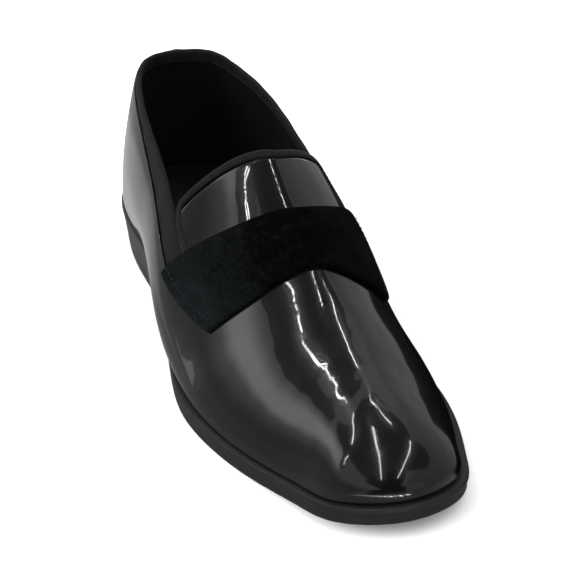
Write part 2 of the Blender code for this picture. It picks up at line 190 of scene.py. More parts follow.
def table(columns, rows, level=()):
    """One spline for each column, over the first column."""
    rows = np.array(rows, float)
    return {name: spline(rows[:, 0], rows[:, i], name in level) for i, name in enumerate(columns)}


SPREAD = np.linspace(0, 1, len(SECTIONS))[:, None]
LEVEL = tuple(name for name in SECTION_COLUMNS if name not in FREE_AT_ENDS)
section = table(("u",) + SECTION_COLUMNS, np.hstack([SPREAD, np.array(SECTIONS)]), LEVEL)
crest = table(CREST_COLUMNS, CREST)
opening = table(OPENING_COLUMNS, OPENING)
crossing = table(CROSSING_COLUMNS, CROSSING)


def ease(x):
    """A soft step from 0 to 1."""
    x = np.clip(x, 0, 1)
    return x * x * (3 - 2 * x)


def underside(share):
    """Height of the sole's underside in front of the heel."""
    toe = TOE_SPRING * np.clip((share - SPRING_START) / (1 - SPRING_START), 0, 1) ** 2
    waist = WAIST_RISE * np.clip((WAIST_FRONT - share) / WAIST_SPAN, 0, 1) ** 1.6
    return toe + waist


def feather_height(share):
    """Height of the sole's top, which the upper stands on."""
    seat = ease((SEAT_END - share) / SEAT_BLEND)
    return (underside(share) + SOLE_THICKNESS) * (1 - seat) + (HEEL_HEIGHT + GAP) * seat


def plan(u, side):
    """The sole's outline. Past either end it runs on round to the other side."""
    folded = np.where(u < 0, -u, np.where(u > 1, 2 - u, u))
    turn = np.where((u < 0) | (u > 1), -side, side)
    y = section["middle"](folded) + turn * section["half"](folded)
    return section["along"](folded) * SOLE_LENGTH, y * BALL_WIDTH


def outline(u, side, inset):
    """The sole's outline drawn in by inset, square to itself. side is 1 medial and -1 lateral."""
    u = np.asarray(u, float)
    reach = 1e-4
    x0, y0 = plan(u - reach, side)
    x1, y1 = plan(u + reach, side)
    x, y = plan(u, side)
    length = np.hypot(x1 - x0, y1 - y0)
    return x + (y1 - y0) / length * side * inset, y - (x1 - x0) / length * side * inset


def rim(u):
    """How far the upper stands inside the sole's edge."""
    return RIM_AT_HEEL + (RIM_AT_TOE - RIM_AT_HEEL) * ease((section["along"](u) - RIM_START) / RIM_BLEND)


def last(u, t, side):
    """A point of the upper's outer face."""
    u, t = np.broadcast_arrays(np.asarray(u, float), np.asarray(t, float))
    share = section["crest"](u)
    top = share * SOLE_LENGTH, crest["side"](share) * BALL_WIDTH, crest["up"](share) * INSTEP_HEIGHT
    step = 1e-3
    fall = (crest["up"](share + step) - crest["up"](share - step)) * INSTEP_HEIGHT / (2 * step * SOLE_LENGTH)
    foot = {s: outline(u, s, rim(u)) for s in (1, -1)}
    reach = {s: np.hypot(top[0] - foot[s][0], top[1] - foot[s][1]) for s in (1, -1)}
    low = feather_height(section["along"](u)) + GAP
    x, y = foot[side]
    out_x = (x - top[0]) / reach[side]
    out_y = (y - top[1]) / reach[side]
    height = top[2] - low
    rise = section["rise_medial" if side > 0 else "rise_lateral"](u)
    lean = section["lean_medial" if side > 0 else "lean_lateral"](u) * height
    # The two sides share one breadth here, so that the curvature carries on over the crest.
    flat = section["flat"](u) * (reach[1] + reach[-1]) / 2 * np.sqrt(1 - rise)
    handles = (
        (x, y, low),
        (x + out_x * lean, y + out_y * lean, low + rise * height),
        (top[0] + out_x * flat, top[1] + out_y * flat, top[2] + fall * out_x * flat),
        top,
    )
    weights = (1 - t) ** 3, 3 * t * (1 - t) ** 2, 3 * t * t * (1 - t), t**3
    return np.stack([sum(w * h[axis] for w, h in zip(weights, handles)) for axis in range(3)], -1)


def outward(u, t, side):
    """The outward normal of the upper's outer face."""
    step = 1e-3
    u = np.clip(u, 0, 1)
    t0 = np.clip(t - step, 0, 1)
    t1 = np.clip(t + step, 0, 1)
    along = last(np.clip(u + step, 0, 1), t, side) - last(np.clip(u - step, 0, 1), t, side)
    up = last(u, t1, side) - last(u, t0, side)
    normal = np.cross(along, up) * -side
    return normal / np.linalg.norm(normal, axis=-1, keepdims=True)


BREAST_U = np.interp(BREAST, section["along"](np.linspace(0, 1, 400)), np.linspace(0, 1, 400))


def over_crest(u, girth):
    """Draws an edge back near the crest, so that it crosses the crest square."""
    step = 1e-3
    top = last(u, 1.0, 1)[..., 0]
    lag = top - (last(u, 1 - step, 1)[..., 0] + last(u, 1 - step, -1)[..., 0]) / 2
    stride = last(u + step, 1.0, 1)[..., 0] - last(u - step, 1.0, 1)[..., 0]
    bend = lag / step * CREST_SPAN / 2 / (stride / (2 * step))
    return u - bend * np.clip(1 - np.abs(girth) / CREST_SPAN, 0, 1) ** 2


def throat(girth):
    """Where the opening ends in front."""
    return over_crest(crossing["throat"](girth), girth)


def grid_faces(rows, columns, start=0):
    """Quads of a grid whose points are counted row by row."""
    faces = []
    for i in range(rows - 1):
        for j in range(columns - 1):
            a = start + i * columns + j
            faces.append((a, a + 1, a + columns + 1, a + columns))
    return faces


def weld(points, faces):
    """Merges points in the same place and drops faces that lose their area."""
    keys = np.round(points * 1e7).astype(np.int64)
    _, first, back = np.unique(keys, axis=0, return_index=True, return_inverse=True)
    back = back.ravel()
    merged = []
    for face in faces:
        corners = list(dict.fromkeys(int(back[corner]) for corner in face))
        if len(corners) > 2:
            merged.append(tuple(corners))
    return points[first], merged


def sheet_normals(points, faces):
    """A normal for each point of a sheet of quads and triangles, the mean of its faces by area."""
    normals = np.zeros_like(points)
    for size in (3, 4):
        group = np.array([face for face in faces if len(face) == size], int).reshape(-1, size)
        if not len(group):
            continue
        corner = points[group]
        area = np.cross(corner[:, 2] - corner[:, 0], corner[:, -1] - corner[:, 1])
        for i in range(size):
            np.add.at(normals, group[:, i], area)
    return normals / np.maximum(np.linalg.norm(normals, axis=1, keepdims=True), 1e-12)


def open_edges(faces):
    """The sheet's free edges, each as a pair of corners."""
    edges = {}
    for face in faces:
        for a, b in zip(face, face[1:] + face[:1]):
            edges[a, b] = True
    return [(a, b) for a, b in edges if (b, a) not in edges]


def thicken(points, faces, normals, high, low):
    """A closed body between two copies of a sheet, moved along its normals by high and by low."""
    count = len(points)
    high = np.broadcast_to(high, count)[:, None]
    low = np.broadcast_to(low, count)[:, None]
    body = np.vstack([points + normals * high, points + normals * low])
    solid = list(faces)
    solid += [tuple(count + i for i in reversed(face)) for face in faces]
    solid += [(b, a, count + a, count + b) for a, b in open_edges(faces)]
    return body, solid


def tube(rings, ends=True):
    """A closed body through rings of points, with a flat cap at either end."""
    rings = np.asarray(rings)
    count, size = rings.shape[:2]
    faces = []
    for i in range(count - 1):
        for j in range(size):
            k = (j + 1) % size
            faces.append((i * size + j, i * size + k, (i + 1) * size + k, (i + 1) * size + j))
    if ends:
        faces.append(tuple(reversed(range(size))))
        faces.append(tuple((count - 1) * size + j for j in range(size)))
    return rings.reshape(-1, 3), faces


def point_at(at, run, path):
    """The point of a path at a length run along it."""
    return np.array([np.interp(at, run, path[:, axis]) for axis in range(3)])


SOLE_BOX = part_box("outsole")
EDGE_U = np.linspace(0, 1, 600)
SHIFT = np.array([
    SOLE_BOX[0][0] - plan(EDGE_U, 1)[0].min(),
    SOLE_BOX[0][1] - min(plan(EDGE_U, 1)[1].min(), plan(EDGE_U, -1)[1].min()),
    0.0,
])


def skin(u, t, side, depth):
    """A point at a depth under the upper's outer face, with its dents and swells."""
    out = relief(u, t, side) - np.asarray(depth)
    return last(u, t, side) + outward(u, t, side) * out[..., None]


def material(name, build, *settings):
    made = bpy.data.materials.new(name)
    made.use_nodes = True
    nodes = made.node_tree.nodes
    build(nodes, made.node_tree.links, nodes["Principled BSDF"], *settings)
    return made


def piece(name, points, faces, look, slot, node=None, smooth=True):
    points, faces = facing_out(np.asarray(points, float), faces)
    mesh = bpy.data.meshes.new(name)
    mesh.from_pydata((points + SHIFT).tolist(), [], [list(face) for face in faces])
    mesh.update()
    mesh.polygons.foreach_set("use_smooth", [smooth] * len(mesh.polygons))
    mesh.materials.append(look)
    made = bpy.data.objects.new(name, mesh)
    bpy.context.collection.objects.link(made)
    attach(made, "root")
    if node:
        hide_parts(node)
    return made


def facing_out(points, faces):
    """Turns the faces of a closed body outwards."""
    total = 0.0
    for size in set(len(face) for face in faces):
        group = np.array([face for face in faces if len(face) == size], int)
        for i in range(1, size - 1):
            a, b, c = points[group[:, 0]], points[group[:, i]], points[group[:, i + 1]]
            total += np.einsum("ij,ij->i", a, np.cross(b, c)).sum()
    if total < 0:
        faces = [tuple(reversed(face)) for face in faces]
    return points, faces


# Soft dents and swells of the patent: u and girth of the middle, their reach in u and girth,
# the turn of the long axis, and the height in metres. Girth is negative on the lateral side.
DENTS = (
    (0.440, 0.080, 0.075, 0.150, 0.0, -0.00110),
    (0.440, 0.360, 0.070, 0.140, 0.0, 0.00070),
    (0.440, -0.240, 0.070, 0.140, 0.0, 0.00030),
    (0.545, 0.250, 0.020, 0.160, 0.3, -0.00020),
    (0.560, -0.120, 0.025, 0.100, 0.0, -0.00015),
    (0.600, 0.500, 0.030, 0.100, 0.2, -0.00035),
    (0.650, 0.100, 0.050, 0.090, 0.0, 0.00012),
    (0.690, 0.600, 0.035, 0.100, 0.0, 0.00025),
    (0.720, -0.200, 0.045, 0.080, 0.1, -0.00012),
    (0.760, 0.300, 0.040, 0.120, -0.2, -0.00008),
    (0.840, -0.420, 0.050, 0.140, 0.0, 0.00010),
    (0.300, 0.780, 0.040, 0.070, 0.0, -0.00040),
    (0.380, 0.680, 0.018, 0.060, 0.4, -0.00045),
    (0.420, 0.660, 0.012, 0.080, -0.4, -0.00035),
    (0.440, 0.600, 0.008, 0.070, 0.3, 0.00025),
    (0.340, -0.760, 0.050, 0.070, 0.0, -0.00030),
    (0.220, -0.800, 0.050, 0.080, 0.0, 0.00025),
)
# The toe's fuller top: x and y of the middle, reach behind it, in front of it and to either side, and height.
TOE_SWELLS = (
    (0.2880, 0.0000, 0.0160, 0.0070, 0.0220, 0.00120),
)
# Slow ripples of the stretched skin: waves along u and girth, phase and height in metres.
RIPPLES = (
    (7.0, 2.1, 0.4, 0.00005),
    (13.0, -3.2, 1.9, 0.000022),
    (24.0, 4.5, 3.3, 0.000007),
    (4.0, 8.0, 5.1, 0.000014),
    (55.0, -6.0, 0.9, 0.0000016),
)


# The relief dies out at the foot of the wall, as t, and at the toe, as u.
FOOT_FADE = 0.12
TOE_FADE = 0.03


def relief(u, t, side):
    """How far the patent stands out of or sinks below the last's smooth shape."""
    girth = side * (1 - t)
    rise = np.zeros(np.broadcast(u, t).shape)
    for mid_u, mid_girth, reach_u, reach_girth, turn, height in DENTS:
        du = (u - mid_u) / reach_u
        dg = (girth - mid_girth) / reach_girth
        along = du * math.cos(turn) + dg * math.sin(turn)
        across = dg * math.cos(turn) - du * math.sin(turn)
        rise = rise + height * np.exp(-along**2 - across**2)
    for wave_u, wave_girth, phase, height in RIPPLES:
        rise = rise + height * np.sin(2 * math.pi * (wave_u * u + wave_girth * girth / 2) + phase)
    rise = rise * ease(t / FOOT_FADE) * ease((1 - u) / TOE_FADE)
    place = last(u, t, side)
    for x, y, behind, front, sideways, height in TOE_SWELLS:
        dx = place[..., 0] - x
        dx = np.where(dx < 0, dx / behind, dx / front)
        rise = rise + height * np.exp(-dx**2 - ((place[..., 1] - y) / sideways) ** 2) * ease(t / FOOT_FADE)
    return rise


# The rounded corners of the vamp's tab: their reach in t, and along the shoe in metres.
CORNER_REACH_T = 0.055
CORNER_REACH = 0.0085
CORNER_ROWS = 14


def tab_edge(t, side):
    """The back edge of the vamp's tab, its two corners rounded."""
    short = np.clip(1 - (t - THROAT_T) / CORNER_REACH_T, 0, 1)
    return throat(side * (1 - t)) + (1 - np.sqrt(1 - short**2)) * CORNER_REACH / SOLE_LENGTH


PATENT_WALL = 0.0011
LINING_WALL = 0.0007
LINING_GAP = 0.0001
EDGE_ROLL = 0.00022
EDGE_STEPS = np.array([0.00018, 0.0005])
QUARTER_HEIGHT = 0.045
ROLL_FROM_HEIGHT = 0.034
TAB_UNDER_BINDING = 0.0010


def spread_to_edge(count, span):
    """Shares from 0 to 1 that crowd at 1, where the edge is rounded. span is the length in metres."""
    near = 1 - EDGE_STEPS[::-1] / span
    return np.concatenate([np.linspace(0, near[0], count), near[1:], [1.0]])


def patent_blocks(columns, low_rows, side_rows, crest_rows, tab_columns):
    """The patent's face in three grids on each side: below the band, the vamp, and its tab."""
    ahead = np.linspace(BAND_END_U, 1, columns)
    behind = np.linspace(0, BAND_END_U, int(columns * 1.2))
    stations = np.concatenate([behind, ahead[1:]])
    crest_t = np.concatenate([
        THROAT_T + CORNER_REACH_T * np.linspace(0, 1, CORNER_ROWS)[:-1] ** 2,
        np.linspace(THROAT_T + CORNER_REACH_T, 1, crest_rows - CORNER_ROWS + 1),
    ])
    blocks = []
    for side, name in ((1, "band_medial"), (-1, "band_lateral")):
        low_top = opening[name](np.minimum(stations, BAND_END_U))
        share = spread_to_edge(low_rows, QUARTER_HEIGHT)[:, None]
        side_t = np.linspace(low_top[-1], THROAT_T, side_rows)
        begin = tab_edge(crest_t, side)[:, None] + (BINDING_WIDTH + GAP - TAB_UNDER_BINDING) / SOLE_LENGTH
        low_u = np.broadcast_to(stations[None, :], (len(share), len(stations)))
        low_t = share * low_top[None, :]
        vamp_t = np.concatenate([side_t, crest_t[1:]])[:, None]
        vamp_u, vamp_t = np.broadcast_arrays(ahead[None, :], vamp_t)
        tab_u = begin + np.linspace(0, 1, tab_columns) * (BAND_END_U - begin)
        tab_t = np.broadcast_to(crest_t[:, None], tab_u.shape)
        for u, t in ((low_u, low_t), (vamp_u, vamp_t), (tab_u, tab_t)):
            blocks.append((u, t, side))
    return blocks


def sheet_of(blocks, shape):
    points = []
    faces = []
    total = 0
    for u, t, side in blocks:
        quads = grid_faces(u.shape[0], u.shape[1], total)
        if side > 0:
            quads = [tuple(reversed(quad)) for quad in quads]
        points.append(shape(u, t, side).reshape(-1, 3))
        faces += quads
        total += u.size
    return weld(np.vstack(points), faces)


def patent_shape(u, t, side):
    # On the crest, the heel and the toe both sides share one normal, so that they meet.
    normal = outward(u, t, side)
    shared = (np.asarray(t) > 1 - 1e-9) | (np.asarray(u) < 1e-9) | (np.asarray(u) > 1 - 1e-9)
    both = normal + outward(u, t, -side)
    size = np.linalg.norm(both, axis=-1, keepdims=True)
    both = both / np.maximum(size, 1e-9)
    normal = np.where(shared[..., None] & (size > 1), both, normal)
    return last(u, t, side) + normal * relief(u, t, side)[..., None]


def free_edge_points(faces, count):
    """Which points lie on the sheet's open edge."""
    free = np.zeros(count, bool)
    for a, b in open_edges(faces):
        free[a] = free[b] = True
    return free


def level_foot(points, normals):
    """The foot of the wall stays level on the sole."""
    at_foot = points[:, 2] < feather_height(points[:, 0] / SOLE_LENGTH) + 2 * GAP
    normals[at_foot, 2] = 0
    normals[at_foot] /= np.linalg.norm(normals[at_foot], axis=1, keepdims=True)
    return normals


def shell(blocks, shape, high, low, roll):
    points, faces = sheet_of(blocks, shape)
    normals = sheet_normals(points, faces)
    if normals[np.argmax(points[:, 0])][0] < 0:
        normals = -normals
    normals = level_foot(points, normals)
    free = free_edge_points(faces, len(points)) & (points[:, 2] > ROLL_FROM_HEIGHT)
    return thicken(points, faces, normals, high - roll * free, low + roll * free)


def patent():
    blocks = patent_blocks(columns=178, low_rows=26, side_rows=10, crest_rows=56, tab_columns=34)
    return shell(blocks, patent_shape, 0.0, -PATENT_WALL, EDGE_ROLL)


def lining():
    blocks = patent_blocks(columns=90, low_rows=12, side_rows=5, crest_rows=24, tab_columns=12)
    return shell(blocks, last, -PATENT_WALL - LINING_GAP, -PATENT_WALL - LINING_WALL, 0.0)


def profile_points(stops):
    """A smooth closed line through stops of (distance, depth)."""
    stops = np.array(stops, float)
    count = len(stops)
    out = []
    for i in range(count):
        a, b, c, d = (stops[(i + k) % count] for k in (-1, 0, 1, 2))
        for f in (0.0, 0.5):
            out.append(0.5 * (2 * b + (c - a) * f + (2 * a - 5 * b + 4 * c - d) * f**2
                              + (3 * b - a - 3 * c + d) * f**3))
    return np.array(out)


# The band's section, in metres: distance below its top edge, and depth under the last's face.
BAND_FOLD = 0.0068
BAND_UNDER = 0.0015
BAND_SWELL = 0.00008
BAND_SWELLS = 23
BAND_STITCH_RISE = 0.0022


def band_profile(height):
    return profile_points((
        (height + BAND_UNDER, 0.00150),
        (height + 0.0004, 0.00135),
        (height - 0.0006, 0.00070),
        (height - 0.0020, 0.00042),
        (height * 0.5, 0.00032),
        (0.0016, 0.00042),
        (0.0006, 0.00078),
        (0.0001, 0.00150),
        (0.0002, 0.00225),
        (0.0008, 0.00282),
        (0.0020, 0.00305),
        (BAND_FOLD * 0.6, 0.00300),
        (BAND_FOLD - 0.0006, 0.00290),
        (BAND_FOLD, 0.00255),
        (BAND_FOLD + 0.0001, 0.00205),
        (BAND_FOLD - 0.0003, 0.00190),
        (max(height * 0.5, BAND_FOLD - 0.001), 0.00188),
        (height + BAND_UNDER, 0.00186),
    ))


def band_lines(u, side):
    """The band's top and lower lines as t, and the metres that one of t spans between them."""
    name = "medial" if side > 0 else "lateral"
    top = opening["top_" + name](u)
    bottom = opening["band_" + name](u)
    return top, bottom, np.linalg.norm(last(u, top, side) - last(u, bottom, side)) / (top - bottom)


def band_ring(u, side, swell):
    top, bottom, scale = band_lines(u, side)
    section_line = band_profile((top - bottom) * scale)
    t = top - section_line[:, 0] / scale
    return skin(np.full(len(t), u), t, side, section_line[:, 1] - swell)


def band_stations(count):
    spread = np.linspace(0, BAND_END_U, count)
    return [(u, -1) for u in spread[::-1]] + [(u, 1) for u in spread[1:]]


def band():
    rings = []
    for u, side in band_stations(150):
        # A slight swell of the padding between the stitches.
        swell = BAND_SWELL * math.sin(u * 2 * math.pi * BAND_SWELLS + side)
        rings.append(band_ring(u, side, swell))
    return tube(rings)


# The binding's section: distance in front of the throat's edge, and depth under the last's face.
BINDING_PROFILE = (
    (0.00385, 0.00060),
    (0.00370, -0.00012),
    (0.00310, -0.00042),
    (0.00200, -0.00056),
    (0.00095, -0.00040),
    (0.00025, 0.00020),
    (0.00000, 0.00105),
    (0.00030, 0.00190),
    (0.00120, 0.00235),
    (0.00400, 0.00240),
    (0.00560, 0.00235),
    (0.00585, 0.00205),
    (0.00560, 0.00184),
    (0.00300, 0.00182),
    (0.00240, 0.00150),
    (0.00300, 0.00080),
)


def binding_path(count):
    """The tab's outline as (u, t, side), from under the strap round the throat and back under the strap."""
    path = []
    for side in (-1, 1):
        run = [(u, THROAT_T) for u in np.linspace(BAND_END_U, tab_edge(THROAT_T, side), 40)[:-1]]
        corner = THROAT_T + CORNER_REACH_T * np.linspace(0, 1, 22) ** 2
        rest = np.linspace(THROAT_T + CORNER_REACH_T, 1, count)[1:]
        run += [(float(tab_edge(t, side)), t) for t in np.concatenate([corner, rest])]
        if side > 0:
            run = run[-2::-1]
        path += [(u, t, side) for u, t in run]
    return path


def across_path(path):
    """At each point of a path, the step in u and t that leads one metre square to it, towards the toe."""
    places = np.array([last(u, t, side) for u, t, side in path])
    steps = []
    for i, (u, t, side) in enumerate(path):
        along = places[min(i + 1, len(path) - 1)] - places[max(i - 1, 0)]
        along /= np.linalg.norm(along)
        normal = outward(u, t, side)
        square = np.cross(along, normal)
        reach = 1e-4
        by_u = (last(u + reach, t, side) - last(u - reach, t, side)) / (2 * reach)
        t0, t1 = min(t - reach, 1 - 2 * reach), min(t + reach, 1)
        by_t = (last(u, t1, side) - last(u, t0, side)) / (t1 - t0)
        du, dt = np.linalg.lstsq(np.stack([by_u, by_t], 1), square, rcond=None)[0]
        if du * by_u[0] + dt * by_t[0] < 0 and abs(square[0]) > 0.3:
            du, dt = -du, -dt
        steps.append((du, dt))
    return steps


def path_rings(path, line):
    """Rings of a section swept along a path. The section gives distances across the path and depths."""
    rings = []
    for (u, t, side), (du, dt) in zip(path, across_path(path)):
        at_u = u + du * line[:, 0]
        at_t = t + dt * line[:, 0]
        # What passes the crest goes on down the other side.
        over = at_t > 1
        at_t = np.where(over, 2 - at_t, at_t)
        this = skin(at_u, at_t, side, line[:, 1])
        other = skin(at_u, at_t, -side, line[:, 1])
        rings.append(np.where(over[:, None], other, this))
    return rings


def binding():
    return tube(path_rings(binding_path(60), profile_points(BINDING_PROFILE)))


# The strap's section: share from the back edge to the front edge, and height over its underside as a share.
STRAP_PROFILE = (
    (0.000, 0.02), (0.003, 0.35), (0.016, 0.66), (0.050, 0.86), (0.150, 0.98), (0.300, 1.02), (0.500, 1.00),
    (0.700, 1.02), (0.850, 0.98), (0.950, 0.86), (0.984, 0.66), (0.997, 0.35), (1.000, 0.02), (0.996, -0.12),
    (0.982, -0.16), (0.900, -0.05), (0.700, 0.00), (0.500, 0.00), (0.300, 0.00), (0.100, -0.05),
    (0.018, -0.16), (0.004, -0.12),
)
STRAP_LOOK_WALL = 0.0021
STRAP_STATIONS = 150
# Soft folds of the strap: girth and share across, reach in both, height in metres.
STRAP_FOLDS = (
    (-0.47, 0.25, 0.05, 0.30, 0.00045),
    (-0.40, 0.60, 0.06, 0.25, -0.00040),
    (-0.20, 0.30, 0.12, 0.20, 0.00030),
    (0.10, 0.70, 0.12, 0.20, -0.00030),
    (0.36, 0.40, 0.06, 0.40, 0.00040),
)


def strap_point(girth, share, height):
    back = over_crest(crossing["strap_back"](girth), girth)
    front = over_crest(crossing["strap_front"](girth), girth)
    u = back + share * (front - back)
    t = 1 - np.abs(girth)
    fold = sum(h * np.exp(-((girth - g) / rg) ** 2 - ((share - s) / rs) ** 2)
               for g, s, rg, rs, h in STRAP_FOLDS)
    depth = -(STRAP_GAP + height * (STRAP_LOOK_WALL + fold))
    medial = skin(u, t, 1, depth)
    lateral = skin(u, t, -1, depth)
    return np.where((girth >= 0)[:, None], medial, lateral)


def strap_girth(share, place):
    lateral = -(STRAP_END_LATERAL_BACK + (STRAP_END_LATERAL_FRONT - STRAP_END_LATERAL_BACK) * share)
    medial = STRAP_END_MEDIAL_BACK + (STRAP_END_MEDIAL_FRONT - STRAP_END_MEDIAL_BACK) * share
    return lateral + place * (medial - lateral)


def strap_band():
    line = profile_points(STRAP_PROFILE)
    # Close to either end the strap grows thin.
    near_end = np.array([0.0, 0.001, 0.004, 0.010])
    thin = np.array([0.35, 0.75, 0.95, 1.0])
    places = np.concatenate([near_end, np.linspace(0.02, 0.98, STRAP_STATIONS), 1 - near_end[::-1]])
    thin = np.concatenate([thin, np.ones(STRAP_STATIONS), thin[::-1]])
    rings = []
    for place, full in zip(places, thin):
        height = 0.5 * (1 - full) * 0.6 + line[:, 1] * full
        rings.append(strap_point(strap_girth(line[:, 0], place), line[:, 0], height))
    return tube(rings)


HEEL_TOP_PIECE = 0.0056
GROOVE = 0.00005
HEEL_LINES = 12
SOLE_LINES = 5
BREAST_BOW = 0.003


def sole_levels(top, bottom, heel):
    """The side of the sole from its top edge down: rows of inset and height."""
    wall = top - bottom
    taper = HEEL_TAPER if heel else 0.0
    rows = [
        (0.0040, 0.0),
        (0.0012, 0.0),
        (0.0005, 0.00008),
        (0.00012, 0.00035),
        (0.0, 0.0009),
        (0.0, LIP_HEIGHT - 0.0004),
        (0.00008, LIP_HEIGHT - 0.0001),
        (0.00040, LIP_HEIGHT + 0.00012),
        (0.00055, LIP_HEIGHT + 0.00035),
        (0.00048, LIP_HEIGHT + 0.0007),
    ]
    lines = HEEL_LINES if heel else SOLE_LINES
    start = LIP_HEIGHT + 0.0010
    stop = wall - 0.0012
    for i in range(lines):
        f = i / (lines - 1)
        drop = start + f * (stop - start)
        rows.append((LIP_STEP + taper * f + (GROOVE if i % 2 else 0.0), drop))
    if heel:
        # The join of the heel's top piece.
        top_piece = wall - HEEL_TOP_PIECE
        rows = [row for row in rows if abs(row[1] - top_piece) > 0.0007]
        f = (top_piece - start) / (stop - start)
        inset = LIP_STEP + taper * f
        rows += [(inset, top_piece - 0.0004), (inset + 0.00028, top_piece - 0.0001),
                 (inset + 0.00028, top_piece + 0.0001), (inset, top_piece + 0.0004)]
        rows.sort(key=lambda row: (row[1], -row[0]) if row[1] <= 0.0001 else (row[1], 0))
    rows += [
        (LIP_STEP + taper + 0.00005, wall - 0.0009),
        (LIP_STEP + taper + 0.00025, wall - 0.0003),
        (LIP_STEP + taper + 0.0007, wall - 0.00005),
        (LIP_STEP + taper + 0.0016, wall),
        (LIP_STEP + taper + 0.0060, wall),
    ]
    return [(inset, top - drop) for inset, drop in rows]


def sole_part(stations, heel):
    across = np.linspace(0, 1, 9)[1:-1]
    bulge = 1 - (2 * across - 1) ** 2
    rings = []
    for i, u in enumerate(stations):
        share = section["along"](u)
        top = float(feather_height(share))
        bottom = 0.0 if heel else float(underside(share))
        levels = sole_levels(top, bottom, heel)
        walls = {}
        for side in (1, -1):
            x, y = outline(np.full(len(levels), u), side, np.array([row[0] for row in levels]))
            walls[side] = np.stack([x, y, [row[1] for row in levels]], -1)
        upper_line = walls[-1][0] + across[:, None] * (walls[1][0] - walls[-1][0])
        lower_line = walls[-1][-1] + across[:, None] * (walls[1][-1] - walls[-1][-1])
        if heel and i == len(stations) - 1:
            lower_line[:, 0] -= bulge * BREAST_BOW
        rings.append(np.vstack([upper_line, walls[1], lower_line[::-1], walls[-1][::-1]]))
    return rings


def sole():
    """The heel block and the rest of the sole, two bodies that meet at the breast."""
    heel = sole_part(np.linspace(0, BREAST_U, 90), True)
    front = sole_part(np.linspace(BREAST_U, 1, 190), False)
    heel_points, heel_faces = tube(heel, False)
    heel_size = len(heel[0])
    heel_faces.append(tuple((len(heel) - 1) * heel_size + j for j in range(heel_size)))
    front_points, front_faces = tube(front, False)
    front_faces.append(tuple(reversed(range(len(front[0])))))
    return weld(heel_points, heel_faces), weld(front_points, front_faces)


def plan_points(stations, inset, across):
    rows = []
    for u in stations:
        lateral_x, lateral_y = outline(u, -1, inset(u))
        medial_x, medial_y = outline(u, 1, inset(u))
        x = lateral_x + across * (medial_x - lateral_x)
        y = lateral_y + across * (medial_y - lateral_y)
        rows.append(np.stack([x, y, feather_height(x / SOLE_LENGTH)], -1))
    return np.stack(rows)


HEEL_PAD = 0.0009


def sock():
    across = np.linspace(0, 1, 31)
    rows = plan_points(np.linspace(0, 1, 150), lambda u: rim(u) + UPPER_WALL + 3 * GAP, across)
    points, faces = weld(rows.reshape(-1, 3), grid_faces(rows.shape[0], rows.shape[1]))
    normals = np.tile([0.0, 0.0, 1.0], (len(points), 1))
    # The heel pad swells under the sock.
    share = points[:, 0] / SOLE_LENGTH
    swell = HEEL_PAD * ease((0.27 - share) / 0.03) * ease((share - 0.03) / 0.03)
    return thicken(points, faces, normals, GAP + INSOLE_WALL + swell, GAP)


# A stitch from end to end: place along it, lift and thickness as shares of the thread's radius.
STITCH = ((0.0, -0.6, 0.45), (0.15, 0.25, 0.9), (0.5, 0.5, 1.0), (0.85, 0.25, 0.9), (1.0, -0.6, 0.45))


def stitch_row(path, normals, length, gap, radius):
    """Short sewn threads along a path, each a rounded bar that dips at its ends."""
    steps = np.linalg.norm(np.diff(path, axis=0), axis=1)
    run = np.concatenate([[0], np.cumsum(steps)])
    count = int(run[-1] / (length + gap))
    bodies = []
    turn = np.linspace(0, 2 * math.pi, 6, endpoint=False)
    for i in range(count):
        start = i * (length + gap) + gap / 2
        rings = []
        for f, lift, thick in STITCH:
            at = start + f * length
            along = point_at(at + 1e-4, run, path) - point_at(at - 1e-4, run, path)
            along /= np.linalg.norm(along)
            up = point_at(at, run, normals)
            up -= along * np.dot(up, along)
            up /= np.linalg.norm(up)
            wide = np.cross(along, up)
            centre = point_at(at, run, path) + up * lift * radius
            ring = np.cos(turn)[:, None] * wide + np.sin(turn)[:, None] * up
            rings.append(centre + radius * thick * ring)
        bodies.append(tube(rings))
    return join(bodies)


def join(bodies):
    """Several bodies as one mesh."""
    points = []
    faces = []
    total = 0
    for body, quads in bodies:
        points.append(body)
        faces += [tuple(total + k for k in quad) for quad in quads]
        total += len(body)
    return np.vstack(points), faces


def band_stitches():
    """Two rows: on the outside above the patent's edge, and inside at the fold's lower edge."""
    rows = []
    for below, depth in ((None, 0.00034), (BAND_FOLD - 0.0012, 0.00302)):
        path = []
        tilt = []
        for u, side in band_stations(240):
            top, bottom, scale = band_lines(u, side)
            t = bottom + BAND_STITCH_RISE / scale if below is None else top - below / scale
            path.append(skin(u, t, side, depth))
            tilt.append(outward(u, t, side) * (1 if below is None else -1))
        rows.append(stitch_row(np.array(path), np.array(tilt), length=0.0019, gap=0.0008, radius=0.00017))
    return join(rows)


BINDING_STITCH_IN = 0.0029
STRAP_STITCH_IN = 0.042
STRAP_STITCH_POINTS = 60


def binding_stitches():
    path = binding_path(90)
    places = []
    tilt = []
    for (u, t, side), (du, dt) in zip(path, across_path(path)):
        at_u, at_t = u + du * BINDING_STITCH_IN, t + dt * BINDING_STITCH_IN
        at_side = side if at_t <= 1 else -side
        at_t = min(at_t, 2 - at_t)
        places.append(skin(at_u, at_t, at_side, -0.00046))
        tilt.append(outward(at_u, at_t, at_side))
    return stitch_row(np.array(places), np.array(tilt), length=0.0016, gap=0.0007, radius=0.00014)


